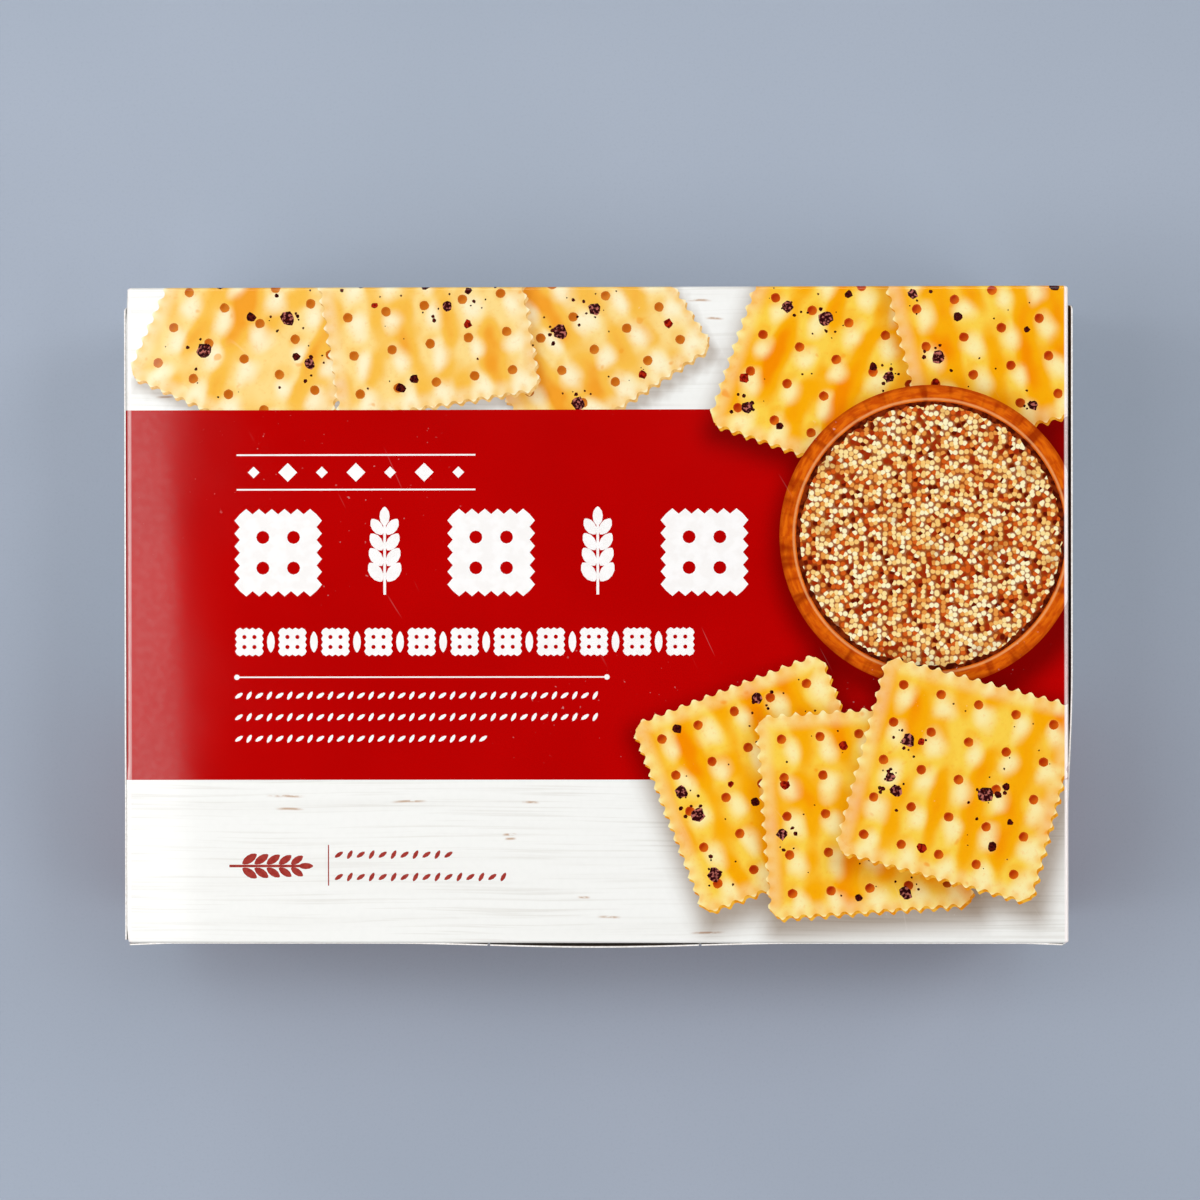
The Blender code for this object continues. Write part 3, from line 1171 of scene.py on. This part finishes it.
def partition(outline, shapes, grid):
    """Splits the outline by every shape's edge. Returns points, triangles and top shapes.

    Shapes whose ink is "cut" are holes.
    """
    box = bounding_box(outline)
    points, edges, loops = [], [], []

    def add_loop(loop):
        first = len(points)
        points.extend(Vector(point) for point in stepped(loop, grid))
        loops.append(list(range(first, len(points))))

    add_loop(outline)
    chosen = [BARE_SHEET]
    for shape in shapes:
        if overlaps(bounding_box(shape["loop"]), box):
            add_loop(shape["loop"])
            chosen.append(shape)
    across, along = fold_lines()
    lines = [((s, box[1]), (s, box[3])) for s in across if box[0] < s < box[2]]
    lines += [((box[0], t), (box[2], t)) for t in along if box[1] < t < box[3]]
    for start, end in lines:
        first = len(points)
        count = math.ceil(math.dist(start, end) / COARSE_GRID)
        points.extend(Vector(start).lerp(Vector(end), k / count) for k in range(count + 1))
        edges.extend((first + k, first + k + 1) for k in range(count))
    columns = int((box[2] - box[0]) / grid)
    rows = int((box[3] - box[1]) / grid)
    for column in range(1, columns):
        for row in range(1, rows):
            shift = 0.5 if row % 2 else 0.0
            x = box[0] + (box[2] - box[0]) * (column + shift) / columns
            points.append(Vector((x, box[1] + (box[3] - box[1]) * row / rows)))
    flat, _, faces, _, _, owners = delaunay_2d_cdt(
        points, edges, loops, TRIANGLES_INSIDE, SAME_POINT
    )
    kept, tops = [], []
    for face, owner in zip(faces, owners):
        if 0 not in owner:
            continue
        top = chosen[max(owner)]
        if top["ink"] != "cut":
            kept.append(face)
            tops.append(top)
    return [tuple(point) for point in flat], kept, tops


def boundary(faces):
    """The directed edges that only one face uses, in order."""
    seen = {edge for face in faces for edge in zip(face, face[1:] + face[:1])}
    return sorted(edge for edge in seen if (edge[1], edge[0]) not in seen)


def squeezed(value, span):
    """A place along the bake map: full size inside span, much smaller outside it."""
    inside = min(max(value, span[0]), span[1])
    return inside + (value - inside) * HIDDEN_SQUEEZE


def folded_board(name, outline, art, grid, shown):
    """Cuts one piece from the printed sheet, folds it and gives it the board's thickness.

    shown is the stretch of s and of t that can be seen, which gets the bake map's full size.
    """
    flat, faces, tops = partition(outline, art.shapes, grid)
    used = sorted({index for face in faces for index in face})
    new_index = {old: new for new, old in enumerate(used)}
    flat = [flat[old] for old in used]
    faces = [[new_index[index] for index in face] for face in faces]
    rims = boundary(faces)
    count = len(flat)
    places = [folded(s, t) for s, t in flat] + [folded(s, t, BOARD) for s, t in flat]
    under = [[index + count for index in reversed(face)] for face in faces]
    edges = [[a, a + count, b + count, b] for a, b in rims]
    mesh = bpy.data.meshes.new(name)
    mesh.from_pydata(places, [], faces + under + edges)
    shown_inks = [top["ink"] for top in tops]
    inks = list(dict.fromkeys(["shaded_board_inside", "cut_edge"] + shown_inks))
    for key in inks:
        mesh.materials.append(ink(key))
    slots = [inks.index(key) for key in shown_inks]
    slots += [inks.index("shaded_board_inside")] * len(under) + [inks.index("cut_edge")] * len(edges)
    mesh.polygons.foreach_set("material_index", slots)
    batches = [top["batch"] for top in tops]
    batches += [0.0] * (len(slots) - len(batches))
    mesh.attributes.new("batch", "FLOAT", "FACE").data.foreach_set("value", batches)
    shades = printed_shades(art, flat, faces, tops)
    shades += [0.0] * (len(mesh.loops) - len(shades))
    mesh.attributes.new("shade", "FLOAT", "CORNER").data.foreach_set("value", shades)
    lay_maps(mesh, flat, faces, tops, rims, shown)
    mesh.shade_smooth()
    mesh.set_sharp_from_angle(angle=SHARP_ANGLE)
    mesh.validate()
    piece = bpy.data.objects.new(name, mesh)
    bpy.context.scene.collection.objects.link(piece)
    return piece


def printed_shades(art, flat, faces, tops):
    """The printed shadow at each face's corners, from the shapes laid over that face's own."""
    known = {}
    shades = []
    for face, top in zip(faces, tops):
        for index in face:
            key = (index, top["layer"])
            if key not in known:
                known[key] = art.shade(*flat[index], top["layer"])
            shades.append(known[key])
    return shades


def lay_maps(mesh, flat, faces, tops, rims, shown):
    """Writes the sheet, local and bake maps, corner by corner, in the faces' order."""
    us = [squeezed(s, shown[0]) for s, _ in flat]
    vs = [squeezed(t, shown[1]) for _, t in flat]
    left, bottom = min(us), min(vs)
    wide, tall = max(us) - left, max(vs) - bottom
    room_u, room_v = 1 - 2 * BAKE_EDGE, 1 - RIM_STRIP - BAKE_EDGE
    unit = [((u - left) / wide, (v - bottom) / tall) for u, v in zip(us, vs)]
    outside = [(BAKE_EDGE + u * room_u, RIM_STRIP + v * room_v) for u, v in unit]
    patch = RIM_STRIP - 3 * BAKE_EDGE
    inside = [(BAKE_EDGE + u * patch, BAKE_EDGE + v * patch) for u, v in unit]
    sheet, local, bake = [], [], []
    for face, top in zip(faces, tops):
        for index in face:
            sheet += flat[index]
            bake += outside[index]
            local += local_place(flat[index], top)
    for face in faces:
        for index in reversed(face):
            sheet += flat[index]
            bake += inside[index]
            local += (0.0, 0.0)
    rim_start = 2 * RIM_STRIP
    rim_room = 1 - rim_start - BAKE_EDGE
    rim_top = BAKE_EDGE + patch
    for k, (a, b) in enumerate(rims):
        left = rim_start + rim_room * k / len(rims)
        right = rim_start + rim_room * (k + 1) / len(rims)
        bake += (left, rim_top, left, BAKE_EDGE, right, BAKE_EDGE, right, rim_top)
        sheet += flat[a] + flat[a] + flat[b] + flat[b]
        local += (0.0,) * 8
    for name, values in (("sheet", sheet), ("local", local), ("OFBake", bake)):
        mesh.uv_layers.new(name=name).data.foreach_set("uv", values)


def local_place(point, shape):
    """A sheet point in the shape's own axes, from its middle."""
    x, y = point[0] - shape["middle"][0], point[1] - shape["middle"][1]
    cos, sin = math.cos(shape["turn"]), math.sin(shape["turn"])
    return (x * cos + y * sin, y * cos - x * sin)


def mirrored(right_side):
    """A closed outline from its right half, listed upwards."""
    return right_side + [(-s, t) for s, t in reversed(right_side)]


def front_outline():
    """Front, top side, lower lining, and the inner and dust flaps at both ends."""
    dust = S_FLAP + DUST_FLAP_LENGTH
    inner = S_FLAP + INNER_FLAP_LENGTH
    start = T_SIDE + SLIT_INSET
    return mirrored([
        (dust, -T_SIDE_END), (dust, -start), (S_SLIT, -start), (S_SLIT, -T_FRONT),
        (inner, -T_FRONT), (inner, T_FRONT), (S_SLIT, T_FRONT), (S_SLIT, start),
        (dust, start), (dust, T_SIDE_END),
    ])


def long_corner():
    """The long flap's rounded free corner, on the right."""
    points = []
    for turn in CORNER_TURNS:
        s = FRONT_WIDTH / 2 - LONG_FLAP_MARGIN * (2 - math.cos(turn))
        points.append((s, T_FREE - FREE_CORNER_HEIGHT * (1 - math.sin(turn))))
    return points


def back_outline():
    """Back panel with its folds, and the long outer flap."""
    outline = mirrored([
        (S_SLIT, T_SIDE_END), (S_SLIT, T_BACK), (S_FLAP, T_BACK), (S_FLAP, T_BACK_END),
        (S_SLIT, T_BACK_END), (S_SLIT, T_LONG),
        (FRONT_WIDTH / 2 - LONG_FLAP_MARGIN, T_LONG + SLIT_INSET),
    ] + long_corner())

    def clipped(s, t):
        clip = RIGHT_CORNER_CLIP * smooth_ramp(T_FREE - FREE_CORNER_HEIGHT, T_FREE, t)
        return (s - clip, t) if s > 0 else (s, t)

    return [clipped(s, t) for s, t in outline]


def end_flap_outline(side):
    """An outer end flap, cut back at its upper free corner; side is -1 left or 1 right."""
    loop = [(S_FLAP, T_BACK), (S_FLAP, T_BACK_END)]
    skew = END_FLAP_SKEW if side > 0 else 0.0
    low_corner = (END_FLAP_LOW_CUT, 0.0, T_BACK_END, -1, skew)
    top_corner = (END_FLAP_CUT, END_FLAP_TAPER, T_BACK, 1, 0.0)
    for cut, taper, edge, inward, short in (low_corner, top_corner):
        corner = []
        for turn in CORNER_TURNS:
            s = S_FREE - short - FREE_CORNER_HEIGHT * (1 - math.sin(turn))
            corner.append((s, edge + inward * (taper + (cut - taper) * (1 - math.cos(turn)))))
        loop += corner if inward < 0 else corner[::-1]
    return [(side * s, t) for s, t in (loop if side < 0 else loop[::-1])]


def thumb_tab(art):
    """Two nicks in the long flap's free edge, and a curved row of short cuts between them."""
    wide, narrow = NOTCH_WIDTH / 2, NOTCH_WIDTH / 2 * NOTCH_TAPER
    nick = [
        (-wide, NOTCH_WIDTH), (-narrow, -NOTCH_DEPTH), (narrow, -NOTCH_DEPTH), (wide, NOTCH_WIDTH),
    ]
    cut = rectangle(-CUT_LENGTH / 2, -CUT_WIDTH / 2, CUT_LENGTH / 2, CUT_WIDTH / 2)
    reach, depth = TAB_WIDTH / 2, TAB_DEPTH - NOTCH_DEPTH
    for side in (-1, 1):
        art.add("cut", nick, (TAB_MIDDLE + side * reach, T_FREE))
    turn = math.pi
    while turn < 2 * math.pi:
        s = TAB_MIDDLE + reach * math.cos(turn)
        t = T_FREE - NOTCH_DEPTH + depth * math.sin(turn)
        slope = Vector((-reach * math.sin(turn), depth * math.cos(turn)))
        art.add("cut", cut, (s, t), math.atan2(slope.y, slope.x))
        turn += CUT_STEP / slope.length


def build_carton():
    """Prints the sheet, then cuts and folds it in four pieces."""
    art = whole_artwork()
    thumb_tab(art)
    seen_s, seen_t = S_FLAP + BOW_FULL, T_SIDE + SEEN_LINING
    cuts = [
        ("front_board", front_outline(), FINE_GRID, (-seen_s, seen_s), (-seen_t, T_SIDE_END)),
        ("back_board", back_outline(), COARSE_GRID, (-S_FLAP, S_FLAP), (T_SIDE_END, T_FREE)),
    ]
    for name, side in (("left_end_flap", -1), ("right_end_flap", 1)):
        across = tuple(sorted((side * S_FLAP, side * S_FREE)))
        cuts.append((name, end_flap_outline(side), COARSE_GRID, across, (T_BACK, T_BACK_END)))
    pieces = [folded_board(name, outline, art, grid, shown) for name, outline, grid, *shown in cuts]
    for piece in pieces:
        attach(piece, "root")
        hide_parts("carton")


# The studio

FLOOR_SIZE = 6.0
FLOOR_FADE = (1.8, 0.5)

# The room as the camera sees it, and the faint light that it adds
ROOM_COLOUR = (158, 168, 183)
ROOM_LIGHT = (0.9, 0.95, 1.0, 1.0)
ROOM_STRENGTH = 0.01

LENS = 85
CAMERA_PLACE = (0.00986, 0.0057, 0.7883)
CAMERA_AIM = (0.00076, 0.0044)
CAMERA_ROLL = 0.00131

# The panel mirrored in the varnish, hung level; its right edge ends the glare on the front
GLARE_PANEL_EDGE = -0.2545
GLARE_PANEL_LEAN = math.radians(2.3)
GLARE_PANEL_WIDTH = 0.80
GLARE_PANEL_LENGTH = 1.10
GLARE_PANEL_MIDDLE = 0.05
GLARE_PANEL_HEIGHT = 0.966
GLARE_PANEL_RADIANCE = 2.05

# Softboxes: azimuth (0 right, 90 above) and elevation in degrees, width, height and radiance
WARM = (1.00, 0.95, 0.90)
NEUTRAL = (1.00, 1.00, 1.00)
SOFTBOX_DISTANCE = 2.0
SOFTBOXES = (
    ("left_softbox", 180, 40, 1.00, 0.60, 5.4, NEUTRAL),
    ("lower_left_softbox", 210, 40, 0.90, 0.60, 1.1, NEUTRAL),
    ("upper_softbox", 90, 38, 2.00, 0.60, 1.2, NEUTRAL),
    ("upper_steep_softbox", 90, 74, 1.20, 0.40, 2.9, NEUTRAL),
    ("upper_right_softbox", 27, 38, 0.90, 0.60, 4.5, NEUTRAL),
    ("upper_right_steep_softbox", 45, 62, 0.90, 0.60, 1.2, NEUTRAL),
    ("right_steep_softbox", 0, 62, 1.00, 0.50, 4.4, NEUTRAL),
    ("lower_right_softbox", 330, 40, 0.90, 0.60, 3.2, NEUTRAL),
    ("lower_softbox", 300, 22, 0.90, 0.50, 0.6, WARM),
)


def floor_paint():
    """Pale matt paint, which far out fades into the pale room behind it."""
    recipe = Recipe(bpy.data.materials.new("floor_paint"))
    place = recipe.object_place()
    x, y = place.parts()
    solid = recipe.length(x, y).ramp(*FLOOR_FADE)
    cloud = recipe.noise(place, 6, 2).ramp(0.3, 0.7)
    fleck = recipe.noise(place, 1500, 2).ramp(0.5, 0.75)
    colour = recipe.mix(cloud, (159, 170, 186), (164, 174, 190))
    colour = recipe.mix(fleck * 0.25, colour, (148, 159, 177))
    return recipe.finish({"Base Color": colour, "Roughness": 0.75, "Alpha": solid})


def build_floor():
    """A square of painted floor under the carton."""
    half = FLOOR_SIZE / 2
    corners = [(x, y, 0.0) for x, y in rectangle(-half, -half, half, half)]
    mesh = bpy.data.meshes.new("floor")
    mesh.from_pydata(corners, [], [(0, 1, 2, 3)])
    mesh.materials.append(floor_paint())
    floor = bpy.data.objects.new("floor", mesh)
    bpy.context.scene.collection.objects.link(floor)


def panel(name, place, turn, width, height, radiance, colour):
    """An even light panel. Panels of radiance 1 all round would light a white sheet to 1."""
    light = bpy.data.lights.new(name, "AREA")
    light.shape = "RECTANGLE"
    light.size = width
    light.size_y = height
    light.energy = radiance * width * height * math.pi
    light.color = colour
    item = bpy.data.objects.new(name, light)
    item.location = place
    item.rotation_euler = turn
    item.visible_camera = False
    bpy.context.scene.collection.objects.link(item)


def softbox(name, azimuth, elevation, width, height, radiance, colour):
    """A panel that faces the carton from an azimuth and an elevation."""
    around, up = math.radians(azimuth), math.radians(elevation)
    level = math.cos(up)
    away = Vector((level * math.cos(around), level * math.sin(around), math.sin(up)))
    place = away * SOFTBOX_DISTANCE
    turn = (-place).to_track_quat("-Z", "Y").to_euler()
    panel(name, place, turn, width, height, radiance, colour)


def build_room():
    """A room that looks pale but adds next to no light, which comes from the panels alone."""
    recipe = Recipe(bpy.data.worlds.new("pale_room"), "Background")
    recipe.feed(recipe.shader, {"Color": ROOM_LIGHT, "Strength": ROOM_STRENGTH})
    dim = Value(recipe, recipe.shader.outputs["Background"])
    pale = recipe.node("ShaderNodeBackground", {}, {"Color": ROOM_COLOUR})
    seen = recipe.node("ShaderNodeLightPath", {}, {}, "Is Camera Ray")
    either = recipe.node("ShaderNodeMixShader", {}, {0: seen, 1: dim, 2: pale})
    recipe.feed(recipe.tree.nodes["World Output"], {"Surface": either})
    bpy.context.scene.world = recipe.owner


def build_studio():
    """Floor, lights, room and the camera, which looks straight down on the front."""
    build_floor()
    glare_x = GLARE_PANEL_EDGE - GLARE_PANEL_WIDTH / 2
    panel(
        "glare_panel", (glare_x, GLARE_PANEL_MIDDLE, GLARE_PANEL_HEIGHT), (0, 0, GLARE_PANEL_LEAN),
        GLARE_PANEL_WIDTH, GLARE_PANEL_LENGTH, GLARE_PANEL_RADIANCE, NEUTRAL,
    )
    for values in SOFTBOXES:
        softbox(*values)
    build_room()
    lens = bpy.data.cameras.new("camera")
    lens.lens = LENS
    camera = bpy.data.objects.new("camera", lens)
    camera.location = CAMERA_PLACE
    view = (Vector((*CAMERA_AIM, DEPTH)) - Vector(CAMERA_PLACE)).normalized()
    right = view.cross(Vector((math.sin(CAMERA_ROLL), math.cos(CAMERA_ROLL), 0.0))).normalized()
    turn = Matrix((right, right.cross(view), -view)).transposed()
    camera.rotation_euler = turn.to_euler()
    bpy.context.scene.collection.objects.link(camera)
    bpy.context.scene.camera = camera
    bpy.context.scene.view_settings.view_transform = "Standard"


build_carton()
build_studio()
